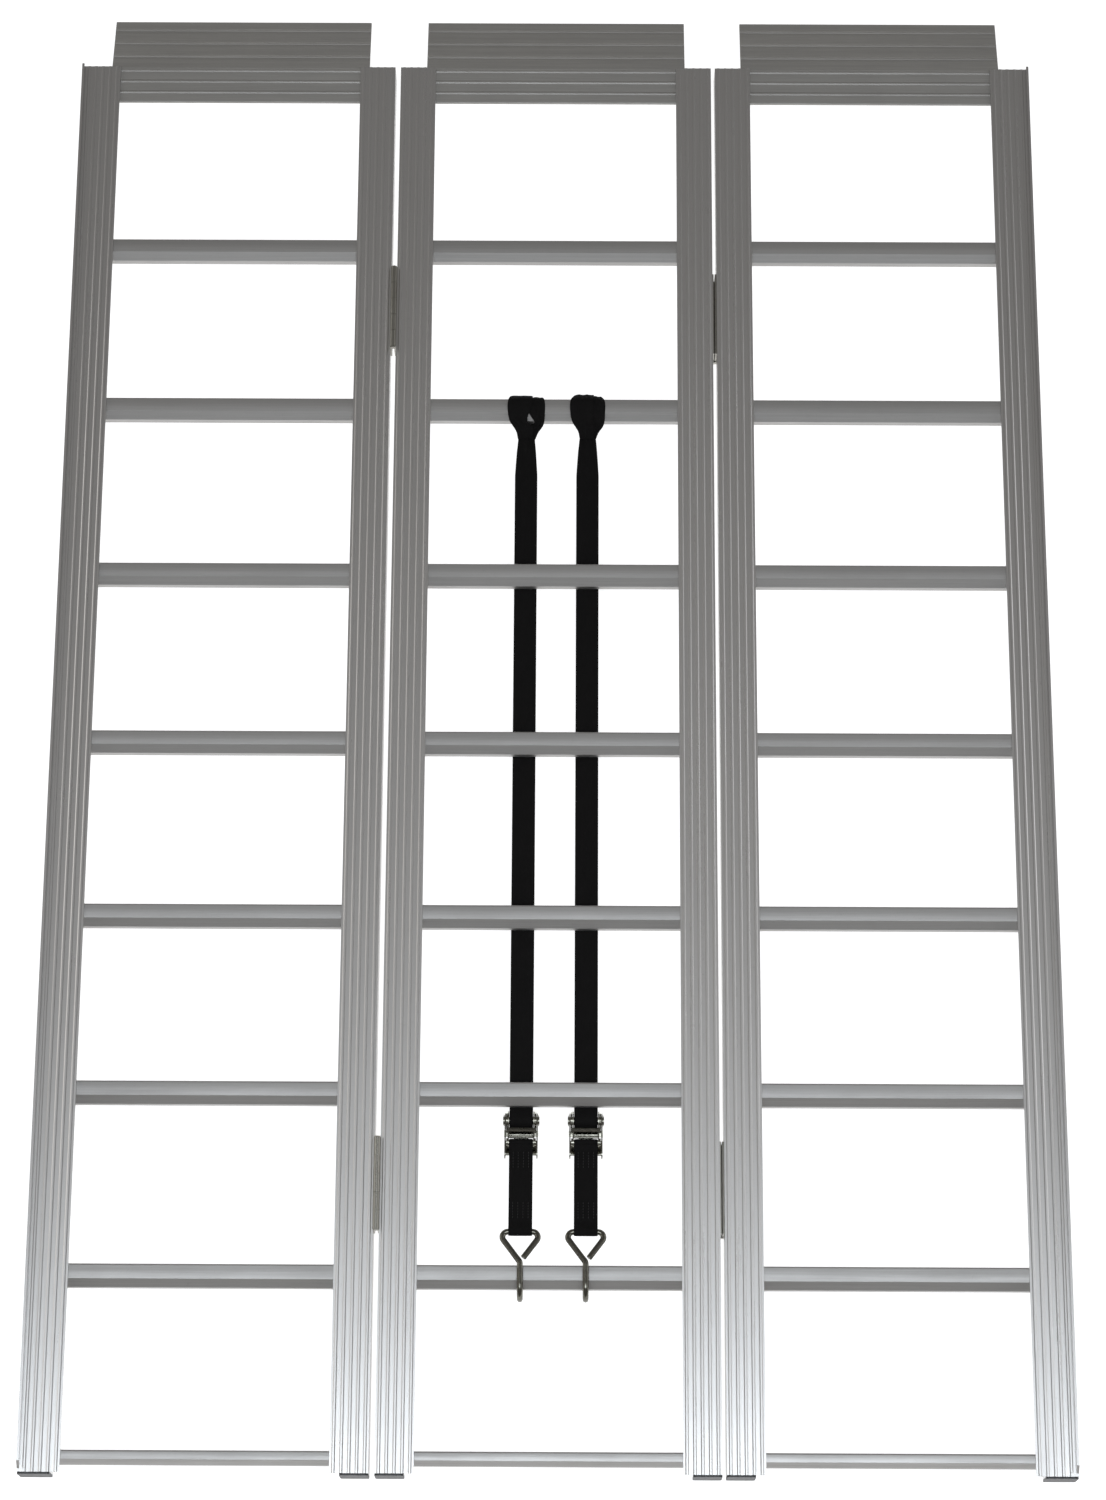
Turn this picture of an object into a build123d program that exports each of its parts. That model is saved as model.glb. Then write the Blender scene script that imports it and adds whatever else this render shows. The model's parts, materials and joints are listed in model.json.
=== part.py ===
"""Tri-fold aluminium loading ramp with two ratchet tie-down straps.

Three ladder panels lie side by side, open and flat on their backs. The left panel folds over the
tread side of the centre panel and the right panel folds under it. Frame: +X across the panels,
+Y up the ramp towards the lip plates, +Z out of the tread. Origin: bottom centre of the box round
the whole ramp. Millimetres.
"""
from build123d import *
from math import asin, atan2, cos, degrees, radians, sin, tan
import os

os.makedirs("parts", exist_ok=True)

# ---------------------------------------------------------------- driving dimensions
overall_width = 1270.0  # across the three open panels
rail_length = 1868.0
left_gap = 7.25  # between the left and centre panels
right_gap = 5.25  # between the centre and right panels

# side rails: a closed box with a tread flange that overhangs the rungs
rail_depth = 38.0
tread_width = 47.0
box_width = 35.0
rail_wall = 2.0
tread_thickness = 3.2
rib_count = 5
rib_pitch = 9.4
rib_base = 4.4
rib_height = 0.6
flank_angle = 25.0  # slope of the sides of ribs and ridges
guard_strip = 4.0  # extra width of an outer rail, which carries the wheel guard
guard_thickness = 3.0
guard_height = 8.5
guard_setback = 4.0  # the guard's bottom end is cut back at a slant

# rungs, measured from the rails' bottom ends
rung_width = 28.0
rung_height = 21.0
rung_wall = 2.0
rung_crown = 0.5
rung_corner = 2.5
rung_shoulder_run = 0.34  # share of the width that slopes down on the downhill side
rung_shoulder_drop = 0.4  # share of the height that it drops
foot_rung_width = 17.0
foot_rung_height = 18.0
rung_places = [1602.0, 1375.0, 1145.5, 918.5, 690.5, 464.5, 237.5, 18.5]

# lip plates
lip_thickness = 4.5
lip_flat = 51.0  # the part between the rails
lip_reach = 84.0  # the part past the rails' top ends, along its own slope
lip_angle = 16.0
lip_edge_round = 1.5
lip_flat_ridges = [4.0, 20.0, 36.0]  # from the bend, down the ramp
lip_reach_ridges = [21.0, 45.0, 69.0]  # from the bend, towards the tip
ridge_width = 4.4
ridge_height = 0.7

# plastic plugs in the rails' bottom ends
plug_face = 2.5
plug_depth = 18.0
plug_wall = 2.0
plug_clearance = 0.15
plug_corner = 4.0

# hinges
hinge_length = 114.0
hinge_places = [1515.0, 350.0]  # centres, from the rails' bottom ends
knuckle_count = 5
knuckle_gap = 0.4
barrel_radius = 4.2
pin_radius = 2.5
pin_clearance = 0.05
pin_cover = 0.4  # the leaf plates stop this far from the pin
pin_head = 1.2
pin_head_radius = 3.6
leaf_thickness = 2.0
leaf_height = 25.0
leaf_rivet_depth = 14.0  # from the rail's edge to the rivets
rivet_radius = 2.4
rivet_head_radius = 4.4
rivet_head_depth = 1.6
rivet_tail = 1.5
rivet_spread = 40.0
barrel_clearance = 0.3
fold_clearance = 1.0  # between the guard and the tread that it folds onto
barrel_standoff = 0.4  # the right hinges' barrels clear the rails' undersides by this much

# tie-down straps
strap_places = [-36.0, 44.0]  # from the centre panel's middle
webbing_width = 29.2
webbing_thickness = 1.4
knot_width = 47.0
knot_shoulder_width = 31.0  # across the top of the knot
knot_thickness = 4.5
knot_neck = 22.0
knot_reach = 38.0  # from rung 2's middle to the neck
neck_length = 10.0
neck_lap = 4.0  # the strap starts this far inside the neck
soft_gap = 0.3  # between webbing and what it lies against

# ratchet buckle
spool_place = 436.0  # spool axis, from the rails' bottom ends
spool_radius = 5.0
spool_slot = 2.0
wound_radius = 9.0
running_gap = 0.05
side_gap = 0.3
arm_length = 33.0  # spool axis to anchor bolt
webbing_room = 0.8  # the frame is this much wider inside than the webbing
frame_plate = 1.4
head_margin = 0.6  # the frame's round heads stand this far outside the teeth
frame_arm_width = 10.0
frame_eye_radius = 6.0
gear_thickness = 2.0
gear_root_radius = 8.2
gear_tip_radius = 11.0
tooth_count = 12
tooth_root_width = 1.9
tooth_tip_width = 0.9
bolt_radius = 3.0
bolt_head_radius = 5.0
bolt_head = 1.8
seat_rod_radius = 1.6
seat_rod_gap = 3.3  # from the lock pawl's end to the rod behind it
handle_plate = 1.5
handle_head_radius = 9.2
handle_lobe_radius = 7.0
handle_lobe_at = (15.0, -11.0)
handle_grip_radius = 6.0
handle_grip_at = (44.0, -9.0)
grip_size = (22.0, 3.6)
grip_at = (33.0, -12.0)
clip_radius = 6.8
clip_thickness = 1.0
clip_gap = 0.4
spool_end = 0.6
pawl_thickness = 2.0
pawl_gap = 0.12
pawl_side_gap = 0.2
slot_end_gap = 0.24
pawl_travel = 3.0
tip_clearance = 0.4  # from the lock pawl's tips to the bottom of the teeth
lock_clearance = 2.0  # from the wound webbing to the lock pawl's plate
lock_length = 9.0
lock_ear_length = 7.0
lock_ear_margin = 0.1  # the ears stop this far inside the toothed wheels' outer faces
lock_tab = 5.0
drive_angle = -38.0
drive_ride = 0.3  # the drive pawl rides this far off the round frame heads
drive_length = 8.1
drive_tab_length = 12.1
drive_tab_width = 18.0
drive_ear = 0.8  # the drive pawl's ears stand this far out of the handle's plates

# wire hook
wire_radius = 3.7
hook_eye_margin = 0.2  # the eye's straight bar is this much longer than half the webbing at each end
hook_eye_corner = 6.8
hook_eye_angle = 53.5  # between the eye's bar and its legs
hook_apex = 17.0  # from rung 7's middle to the triangle's point
hook_bend_reach = 25.8
hook_rise = 0.35  # the shank lies this far above rung 7
hook_throat_gap = 4.2  # free height under rung 7
hook_tip_reach = 3.0
hook_end_round = 1.2
hook_free_end = 0.87  # the wire's cut end lies this far down the eye's leg
bend_margin = 0.02  # the hook's two bends leave this much straight wire between them

# ---------------------------------------------------------------- derived places
left_axis_rise = (guard_height + fold_clearance) / 2  # hinge axis above the tread plane
right_axis_drop = barrel_radius + barrel_standoff  # hinge axis below the rails' undersides
barrel_drop = right_axis_drop + barrel_radius
z_under = barrel_drop  # the rails' undersides
z_tread = z_under + rail_depth
z_flange = z_tread - tread_thickness  # undersides of the tread flanges
z_rung = z_flange - rung_height
panel_widths_total = overall_width - left_gap - right_gap
centre_width = (panel_widths_total - 2 * guard_strip) / 3
side_width = centre_width + guard_strip
x_left = -overall_width / 2
x_centre = x_left + side_width + left_gap
x_right = x_centre + centre_width + right_gap
x_middle = x_centre + centre_width / 2
overall_length = plug_face + rail_length + lip_reach * cos(radians(lip_angle))
y_end = -overall_length / 2 + plug_face  # the rails' bottom ends
y_top = y_end + rail_length
y_rungs = [y_end + place for place in rung_places]
y_hinges = [y_end + place for place in hinge_places]
rivet_steps = [-rivet_spread, 0.0, rivet_spread]

# each panel: left edge, right edge, and whether its left and its right rail is an outer one
panels = {
    "left": (x_left, x_left + side_width, True, False),
    "centre": (x_centre, x_centre + centre_width, False, False),
    "right": (x_right, x_right + side_width, False, True),
}

# each gap: middle, half width, hinge axis height, which way the leaves hang, edge that they hang from
gaps = {
    "left": (x_centre - left_gap / 2, left_gap / 2, z_tread + left_axis_rise, -1, z_tread),
    "right": (x_right - right_gap / 2, right_gap / 2, z_under - right_axis_drop, 1, z_under),
}


def save(piece, name):
    """Label a finished piece and write it as its own node."""
    piece.part.label = name
    export_step(piece.part, f"parts/{name}.step")


def section(x, y, side):
    """A plane across the ramp: local x runs inwards from a rail's edge, local y runs up."""
    return Plane(origin=(x, y, z_under), x_dir=(side, 0, 0), z_dir=(0, -side, 0))


def box_of(is_outer):
    """Width of a rail's closed box."""
    return box_width + (guard_strip if is_outer else 0.0)


# ---------------------------------------------------------------- side rails
def build_rail(name, edge, side, is_outer, rivet_heights):
    """An extruded rail: hollow box, ribbed tread flange and, on an outer rail, a wheel guard."""
    strip = guard_strip if is_outer else 0.0
    width = tread_width + strip
    box = box_width + strip
    with BuildPart() as rail:
        with BuildSketch(section(edge, y_end, side)):
            with BuildLine():
                Polyline(
                    (0, 0),
                    (box, 0),
                    (box, rail_depth - tread_thickness),
                    (width, rail_depth - tread_thickness),
                    (width, rail_depth),
                    (0, rail_depth),
                    close=True,
                )
            make_face()
            with Locations((rail_wall, rail_wall)):
                Rectangle(
                    box - 2 * rail_wall,
                    rail_depth - tread_thickness - rail_wall,
                    align=(Align.MIN, Align.MIN),
                    mode=Mode.SUBTRACT,
                )
            with Locations(*[(width - rib_pitch * (i + 0.5), rail_depth) for i in range(rib_count)]):
                Trapezoid(rib_base, rib_height, flank_angle, align=(Align.CENTER, Align.MIN))
            if is_outer:
                Rectangle(guard_thickness, rail_depth + guard_height, align=(Align.MIN, Align.MIN))
                with Locations((rail_wall, rail_wall)):
                    Rectangle(
                        guard_thickness,
                        rail_depth - tread_thickness - rail_wall,
                        align=(Align.MIN, Align.MIN),
                        mode=Mode.SUBTRACT,
                    )
        extrude(amount=rail_length, dir=(0, 1, 0))
        if is_outer:
            with BuildSketch(Plane.YZ.offset(edge - side * guard_thickness)):
                with BuildLine():
                    Polyline(
                        (y_end, z_tread),
                        (y_end, z_tread + 2 * guard_height),
                        (y_end + guard_setback + 2 * guard_height, z_tread + 2 * guard_height),
                        (y_end + guard_setback, z_tread),
                        close=True,
                    )
                make_face()
            extrude(amount=4 * guard_thickness, dir=(side, 0, 0), mode=Mode.SUBTRACT)
        for height in rivet_heights:
            spots = [(y + step, height) for y in y_hinges for step in rivet_steps]
            with BuildSketch(Plane.YZ.offset(edge - side)):
                with Locations(*spots):
                    Circle(rivet_radius)
            extrude(amount=rail_wall + 2, dir=(side, 0, 0), mode=Mode.SUBTRACT)
    save(rail, name)


# ---------------------------------------------------------------- rungs
def rung_outline(width, height):
    """Crowned rung section with a sloped downhill shoulder; local x is +Y, local y is +Z."""
    shelf = height - rung_crown
    shoulder_run = rung_shoulder_run * width
    shoulder_drop = rung_shoulder_drop * height
    with BuildSketch(Plane.XY) as outline:
        with BuildLine():
            Line((-width / 2, 0), (width / 2, 0))
            Line((width / 2, 0), (width / 2, shelf))
            ThreePointArc(
                (width / 2, shelf),
                (shoulder_run / 2, height),
                (-width / 2 + shoulder_run, shelf),
            )
            Line((-width / 2 + shoulder_run, shelf), (-width / 2, shelf - shoulder_drop))
            Line((-width / 2, shelf - shoulder_drop), (-width / 2, 0))
        make_face()
        fillet(outline.vertices().group_by(Axis.Y)[0], rung_corner)
        fillet(outline.vertices().group_by(Axis.X)[-1].sort_by(Axis.Y)[-1], rung_corner)
    return outline.sketch


def rung_size(index):
    """Width and height of a rung; the last one, at the foot, is smaller."""
    if index == len(rung_places) - 1:
        return foot_rung_width, foot_rung_height
    return rung_width, rung_height


def build_rung(name, x_start, length, index):
    """A hollow rung between the two box walls, tight under the tread flanges."""
    width, height = rung_size(index)
    outline = rung_outline(width, height)
    with BuildPart() as rung:
        with BuildSketch(Plane(origin=(x_start, y_rungs[index], z_flange - height),
                               x_dir=(0, 1, 0), z_dir=(1, 0, 0))):
            add(outline)
            offset(amount=-rung_wall, mode=Mode.SUBTRACT)
        extrude(amount=length)
    save(rung, name)


# ---------------------------------------------------------------- lip plates
def build_lip(name, x_start, length):
    """The bent plate that hooks on the tailgate, with crosswise ridges on top."""
    slope = radians(lip_angle)
    along = (cos(slope), -sin(slope))
    inward = (-sin(slope), -cos(slope))
    bend_shift = lip_thickness * (1 - cos(slope)) / sin(slope)
    tip = (lip_reach * along[0], lip_reach * along[1])
    overhang = tread_width - box_width + soft_gap  # the rails' flanges cover the plate's sides
    with BuildPart() as lip:
        with BuildSketch(Plane(origin=(x_start, y_top, z_flange), x_dir=(0, 1, 0), z_dir=(1, 0, 0))):
            with BuildLine():
                Polyline(
                    (-lip_flat, 0),
                    (0, 0),
                    tip,
                    (tip[0] + lip_thickness * inward[0], tip[1] + lip_thickness * inward[1]),
                    (-bend_shift, -lip_thickness),
                    (-lip_flat, -lip_thickness),
                    close=True,
                )
            make_face()
            with Locations(*[Location((p * along[0], p * along[1]), -lip_angle) for p in lip_reach_ridges]):
                Trapezoid(ridge_width, ridge_height, flank_angle, align=(Align.CENTER, Align.MIN))
        extrude(amount=length)
        flat_start = (x_start + overhang, y_top, z_flange)
        with BuildSketch(Plane(origin=flat_start, x_dir=(0, 1, 0), z_dir=(1, 0, 0))):
            with Locations(*[(-place, 0) for place in lip_flat_ridges]):
                Trapezoid(ridge_width, ridge_height, flank_angle, align=(Align.CENTER, Align.MIN))
        extrude(amount=length - 2 * overhang)
        fillet(lip.edges().filter_by(Axis.X).group_by(Axis.Y)[0], lip_edge_round)
    save(lip, name)


# ---------------------------------------------------------------- end plugs
def build_plugs(name, rails):
    """Plastic plugs in the bottom ends: a rounded face on the box's end and a hollow shank inside."""
    with BuildPart() as plugs:
        for edge, side, is_outer in rails:
            box = box_of(is_outer)
            cavity = box - 2 * rail_wall - 2 * plug_clearance
            rise = rail_depth - tread_thickness - rail_wall - 2 * plug_clearance
            seat = rail_wall + plug_clearance
            core = seat + plug_wall
            with BuildSketch(section(edge, y_end, side)):
                RectangleRounded(box, rail_depth, plug_corner, align=(Align.MIN, Align.MIN))
            extrude(amount=plug_face, dir=(0, -1, 0))
            with BuildSketch(section(edge, y_end, side)):
                with Locations((seat, seat)):
                    Rectangle(cavity, rise, align=(Align.MIN, Align.MIN))
                with Locations((core, core)):
                    Rectangle(cavity - 2 * plug_wall, rise - 2 * plug_wall,
                              align=(Align.MIN, Align.MIN), mode=Mode.SUBTRACT)
            extrude(amount=plug_depth, dir=(0, 1, 0))
    save(plugs, name)


# ---------------------------------------------------------------- hinges
def knuckle_spans(owned):
    """Start and length of each knuckle; owned picks the first, third and fifth, or else the others."""
    pitch = hinge_length / knuckle_count
    first = 0 if owned else 1
    return [(-hinge_length / 2 + i * pitch, pitch) for i in range(first, knuckle_count, 2)]


def build_leaves(name, seats):
    """The hinge leaves on one panel: plate on the rail's wall, knuckles, pin bore and rivet holes."""
    with BuildPart() as leaves:
        for gap, side, holds_pin in seats:
            middle, half, z_axis, hang, z_edge = gaps[gap]
            wall = middle + side * half
            z_near = z_axis + hang * (pin_radius + pin_cover)
            z_far = z_edge + hang * leaf_height
            for y in y_hinges:
                with BuildSketch(Plane.XY.offset(min(z_near, z_far))):
                    with Locations((wall - side * leaf_thickness / 2, y)):
                        Rectangle(leaf_thickness, hinge_length)
                extrude(amount=abs(z_far - z_near))
                for start, length in knuckle_spans(not holds_pin):
                    with BuildSketch(Plane.XZ.offset(-(y + start - knuckle_gap / 2))):
                        with Locations((middle, z_axis)):
                            Circle(barrel_radius + barrel_clearance)
                    extrude(amount=-(length + knuckle_gap), mode=Mode.SUBTRACT)
                for start, length in knuckle_spans(holds_pin):
                    with BuildSketch(Plane.XZ.offset(-(y + start + knuckle_gap / 2))):
                        with Locations((middle, z_axis)):
                            Circle(barrel_radius)
                    extrude(amount=-(length - knuckle_gap))
                with BuildSketch(Plane.XZ.offset(-(y - hinge_length / 2))):
                    with Locations((middle, z_axis)):
                        Circle(pin_radius if holds_pin else pin_radius + pin_clearance)
                extrude(amount=-hinge_length, mode=Mode.SUBTRACT)
                for step in rivet_steps:
                    face = wall - side * leaf_thickness
                    z_rivet = z_edge + hang * leaf_rivet_depth
                    mouth = Plane(origin=(face, y + step, z_rivet), z_dir=(side, 0, 0))
                    with Locations(mouth):
                        Cylinder(rivet_radius, leaf_thickness,
                                 align=(Align.CENTER, Align.CENTER, Align.MIN), mode=Mode.SUBTRACT)
                        Cone(rivet_head_radius, rivet_radius, rivet_head_depth,
                             align=(Align.CENTER, Align.CENTER, Align.MIN), mode=Mode.SUBTRACT)
    save(leaves, name)


def build_rivets(name, seats):
    """Countersunk rivets through leaf and rail wall, with a formed tail inside the rail."""
    reach = leaf_thickness + rail_wall
    with BuildPart() as rivets:
        for gap, side, _ in seats:
            middle, half, _, hang, z_edge = gaps[gap]
            face = middle + side * (half - leaf_thickness)
            for y in y_hinges:
                for step in rivet_steps:
                    z_rivet = z_edge + hang * leaf_rivet_depth
                    mouth = Plane(origin=(face, y + step, z_rivet), z_dir=(side, 0, 0))
                    with Locations(mouth):
                        Cone(rivet_head_radius, rivet_radius, rivet_head_depth,
                             align=(Align.CENTER, Align.CENTER, Align.MIN))
                        Cylinder(rivet_radius, reach + rivet_tail / 2,
                                 align=(Align.CENTER, Align.CENTER, Align.MIN))
                    with Locations(mouth.offset(reach)):
                        Cylinder(rivet_head_radius, rivet_tail, align=(Align.CENTER, Align.CENTER, Align.MIN))
    save(rivets, name)


def build_pins():
    """Four hinge pins with small formed heads at both ends."""
    with BuildPart() as pins:
        for gap in gaps.values():
            for y in y_hinges:
                with Locations(Plane(origin=(gap[0], y, gap[2]), z_dir=(0, 1, 0))):
                    Cylinder(pin_radius, hinge_length)
                    head_place = (hinge_length + pin_head) / 2
                    with Locations((0, 0, head_place), (0, 0, -head_place)):
                        Cylinder(pin_head_radius, pin_head)
    save(pins, "hinge_pins")


# ---------------------------------------------------------------- strap line
y_knot = y_rungs[1]
y_bend = y_rungs[5] - rung_width / 2 - soft_gap
z_behind = z_rung - soft_gap - webbing_thickness / 2  # webbing's middle where it runs behind the rungs
y_apex = y_rungs[6] + hook_apex
hook_eye_turn = radians(180 - hook_eye_angle)
hook_eye_half = webbing_width / 2 + hook_eye_margin + hook_eye_corner * tan(hook_eye_turn / 2)
hook_eye_height = hook_eye_half * tan(radians(hook_eye_angle))
z_shank = z_flange + wire_radius + hook_rise
strap_slope = atan2(z_shank - z_behind, y_bend - y_apex)
y_eye = y_apex + hook_eye_height * cos(strap_slope)
z_eye = z_shank - hook_eye_height * sin(strap_slope)
spool_offset = wound_radius + soft_gap + webbing_thickness / 2  # spool axis to the webbing's middle
arm_slope = strap_slope + asin(spool_offset / arm_length)
run_to_spool = (y_bend - (y_end + spool_place)) / cos(strap_slope)
y_spool = y_end + spool_place
z_line = z_behind + run_to_spool * sin(strap_slope)
z_spool = z_line - spool_offset / cos(strap_slope)
frame_inside = webbing_width + webbing_room
frame_head_radius = gear_tip_radius + head_margin
lock_tip = gear_root_radius + tip_clearance  # radius of the lock pawl's tips, down between the teeth
lock_body = wound_radius + lock_clearance
lock_end = lock_body + lock_length
lock_ear_end = lock_body + lock_ear_length
seat_rod_place = lock_end + seat_rod_gap + seat_rod_radius
drive_tip = frame_head_radius + drive_ride
drive_end = drive_tip + drive_length
drive_tab_end = drive_tip + drive_tab_length
frame_outside = frame_inside / 2 + frame_plate
gear_inside = frame_outside + side_gap
gear_outside = gear_inside + gear_thickness
handle_inside = gear_outside + side_gap
handle_outside = handle_inside + handle_plate
clip_inside = handle_outside + clip_gap
spool_half = clip_inside + clip_thickness + spool_end


def ratchet_plane(x):
    """The buckle's side view at x: local x runs from the spool to the bolt, local y towards the tread."""
    return Plane(origin=(x, y_spool, z_spool),
                 x_dir=(0, -cos(arm_slope), sin(arm_slope)), z_dir=(-1, 0, 0))


def ribbon(points, thickness):
    """Outline of a flat strap of even thickness along a line of points, with mitred corners."""
    left, right = [], []
    for i, (u, v) in enumerate(points):
        before = points[max(i - 1, 0)]
        after = points[min(i + 1, len(points) - 1)]
        turn_in = atan2(v - before[1], u - before[0]) if i else atan2(after[1] - v, after[0] - u)
        turn_out = atan2(after[1] - v, after[0] - u) if i < len(points) - 1 else turn_in
        mean = (turn_in + turn_out) / 2
        reach = thickness / 2 / cos((turn_out - turn_in) / 2)
        left.append((u - reach * sin(mean), v + reach * cos(mean)))
        right.append((u + reach * sin(mean), v - reach * cos(mean)))
    return left + right[::-1]


# ---------------------------------------------------------------- webbing
def build_webbing(name, x):
    """The long strap: choked round rung 2, behind rungs 3 to 6, and tight to the spool."""
    neck = y_knot - knot_reach
    neck_thickness = 3 * webbing_thickness
    tangent = (y_spool + spool_offset * sin(strap_slope), z_spool + spool_offset * cos(strap_slope))
    outline = rung_outline(rung_width, rung_height)
    hole = offset(outline, amount=soft_gap)
    with BuildPart() as webbing:
        with BuildSketch(Plane(origin=(x, y_knot, z_rung), x_dir=(0, 1, 0), z_dir=(1, 0, 0))):
            add(outline)
            offset(amount=soft_gap + knot_thickness)
            with Locations((-knot_reach, z_behind - z_rung)):
                Circle(neck_thickness / 2)
            make_hull()
            add(hole, mode=Mode.SUBTRACT)
        extrude(amount=knot_width / 2, both=True)
        with BuildSketch(Plane.XY.offset(z_rung - 2 * knot_thickness)):
            with BuildLine():
                top = y_knot + rung_width / 2 + 2 * knot_thickness
                Polyline(
                    (x - knot_neck / 2, neck - neck_length),
                    (x - knot_neck / 2, neck),
                    (x - knot_width / 2, y_knot - rung_width / 2),
                    (x - knot_width / 2, y_knot + rung_width / 4),
                    (x - knot_shoulder_width / 2, top),
                    (x + knot_shoulder_width / 2, top),
                    (x + knot_width / 2, y_knot + rung_width / 4),
                    (x + knot_width / 2, y_knot - rung_width / 2),
                    (x + knot_neck / 2, neck),
                    (x + knot_neck / 2, neck - neck_length),
                    close=True,
                )
            make_face()
        extrude(amount=rung_height + 4 * knot_thickness, mode=Mode.INTERSECT)
        with BuildSketch(Plane.YZ.offset(x)):
            with BuildLine():
                run = [(neck + neck_lap, z_behind), (y_bend, z_behind), tangent]
                Polyline(*ribbon(run, webbing_thickness), close=True)
            make_face()
        extrude(amount=webbing_width / 2, both=True)
    save(webbing, name)


def build_hook_webbings():
    """The two short straps, each sewn double round the anchor bolt and round the hook's eye."""
    reach = arm_length
    bolt = (y_spool - reach * cos(arm_slope), z_spool + reach * sin(arm_slope))
    eye = (y_eye, z_eye)
    eye_hole = wire_radius + soft_gap
    with BuildPart() as webbings:
        for place in strap_places:
            with BuildSketch(Plane.YZ.offset(x_middle + place)):
                with BuildLine():
                    Polyline(*ribbon([bolt, eye], 2 * webbing_thickness), close=True)
                make_face()
                with Locations(bolt):
                    Circle(bolt_radius + webbing_thickness)
                with Locations(eye):
                    Circle(eye_hole + webbing_thickness)
                with Locations(bolt):
                    Circle(bolt_radius, mode=Mode.SUBTRACT)
                with Locations(eye):
                    Circle(eye_hole, mode=Mode.SUBTRACT)
            extrude(amount=webbing_width / 2, both=True)
    save(webbings, "hook_webbings")


# ---------------------------------------------------------------- ratchet buckle
def build_frame(name, x):
    """Two side plates, the anchor bolt and the pawl's seat rod."""
    slot_start = lock_tip - slot_end_gap
    slot_end = lock_ear_end + pawl_travel + slot_end_gap
    with BuildPart() as frame:
        for side in (-1, 1):
            inner = x + side * frame_inside / 2
            with BuildSketch(ratchet_plane(inner)):
                Circle(frame_head_radius)
                with Locations((arm_length / 2, 0)):
                    Rectangle(arm_length, frame_arm_width)
                with Locations((arm_length, 0)):
                    Circle(frame_eye_radius)
                Circle(spool_radius + running_gap, mode=Mode.SUBTRACT)
                with Locations(((slot_start + slot_end) / 2, 0)):
                    Rectangle(slot_end - slot_start, pawl_thickness + 2 * pawl_gap, mode=Mode.SUBTRACT)
                with Locations((arm_length, 0)):
                    Circle(bolt_radius, mode=Mode.SUBTRACT)
                with Locations((seat_rod_place, 0)):
                    Circle(seat_rod_radius, mode=Mode.SUBTRACT)
            extrude(amount=frame_plate, dir=(side, 0, 0))
        with BuildSketch(ratchet_plane(x)):
            with Locations((arm_length, 0)):
                Circle(bolt_radius)
            with Locations((seat_rod_place, 0)):
                Circle(seat_rod_radius)
        extrude(amount=frame_outside, both=True)
        for side in (-1, 1):
            with BuildSketch(ratchet_plane(x + side * frame_outside)):
                with Locations((arm_length, 0)):
                    Circle(bolt_head_radius)
            extrude(amount=bolt_head, dir=(side, 0, 0))
    save(frame, name)


def build_spool(name, x):
    """A split mandrel of two half-round bars, with a toothed wheel and a clip at each end."""
    with BuildPart() as spool:
        with BuildSketch(ratchet_plane(x)):
            Circle(spool_radius)
            Rectangle(2 * spool_radius, spool_slot, mode=Mode.SUBTRACT)
        extrude(amount=spool_half, both=True)
        for side in (-1, 1):
            with BuildSketch(ratchet_plane(x + side * gear_inside)):
                Circle(gear_root_radius)
                with PolarLocations(0, tooth_count, start_angle=180 / tooth_count):
                    with BuildLine(mode=Mode.PRIVATE) as tooth:
                        Polyline(
                            (gear_root_radius - 1, -tooth_root_width / 2),
                            (gear_tip_radius, -tooth_tip_width / 2),
                            (gear_tip_radius, tooth_tip_width / 2),
                            (gear_root_radius - 1, tooth_root_width / 2),
                            close=True,
                        )
                    add(make_face(tooth.line, mode=Mode.PRIVATE))
                Circle(spool_radius, mode=Mode.SUBTRACT)
            extrude(amount=gear_thickness, dir=(side, 0, 0))
            with BuildSketch(ratchet_plane(x + side * clip_inside)):
                Circle(clip_radius)
                Circle(spool_radius, mode=Mode.SUBTRACT)
            extrude(amount=clip_thickness, dir=(side, 0, 0))
    save(spool, name)


def build_wound(name, x):
    """The webbing wound on the spool and passed through its slot."""
    slab = spool_slot - 2 * soft_gap
    with BuildPart() as wound:
        with BuildSketch(ratchet_plane(x)):
            Circle(wound_radius)
            Circle(spool_radius, mode=Mode.SUBTRACT)
            Rectangle(spool_radius + wound_radius, slab)
        extrude(amount=webbing_width / 2, both=True)
    save(wound, name)


def build_handle(name, x):
    """Folded under the frame: two side plates on the spool's ends, joined by the grip."""
    along = radians(drive_angle)
    slot_inner = drive_tip - slot_end_gap
    slot_outer = drive_end + pawl_travel + slot_end_gap
    slot_middle = (slot_inner + slot_outer) / 2
    with BuildPart() as handle:
        for side in (-1, 1):
            with BuildSketch(ratchet_plane(x + side * handle_inside)):
                Circle(handle_head_radius)
                with Locations(handle_lobe_at):
                    Circle(handle_lobe_radius)
                with Locations(handle_grip_at):
                    Circle(handle_grip_radius)
                make_hull()
                Circle(spool_radius + running_gap, mode=Mode.SUBTRACT)
                with Locations(Location((slot_middle * cos(along), slot_middle * sin(along)), drive_angle)):
                    Rectangle(slot_outer - slot_inner, pawl_thickness + 2 * pawl_gap, mode=Mode.SUBTRACT)
            extrude(amount=handle_plate, dir=(side, 0, 0))
        with BuildSketch(ratchet_plane(x)):
            with Locations(grip_at):
                SlotOverall(*grip_size)
        extrude(amount=handle_outside, both=True)
    save(handle, name)


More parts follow.
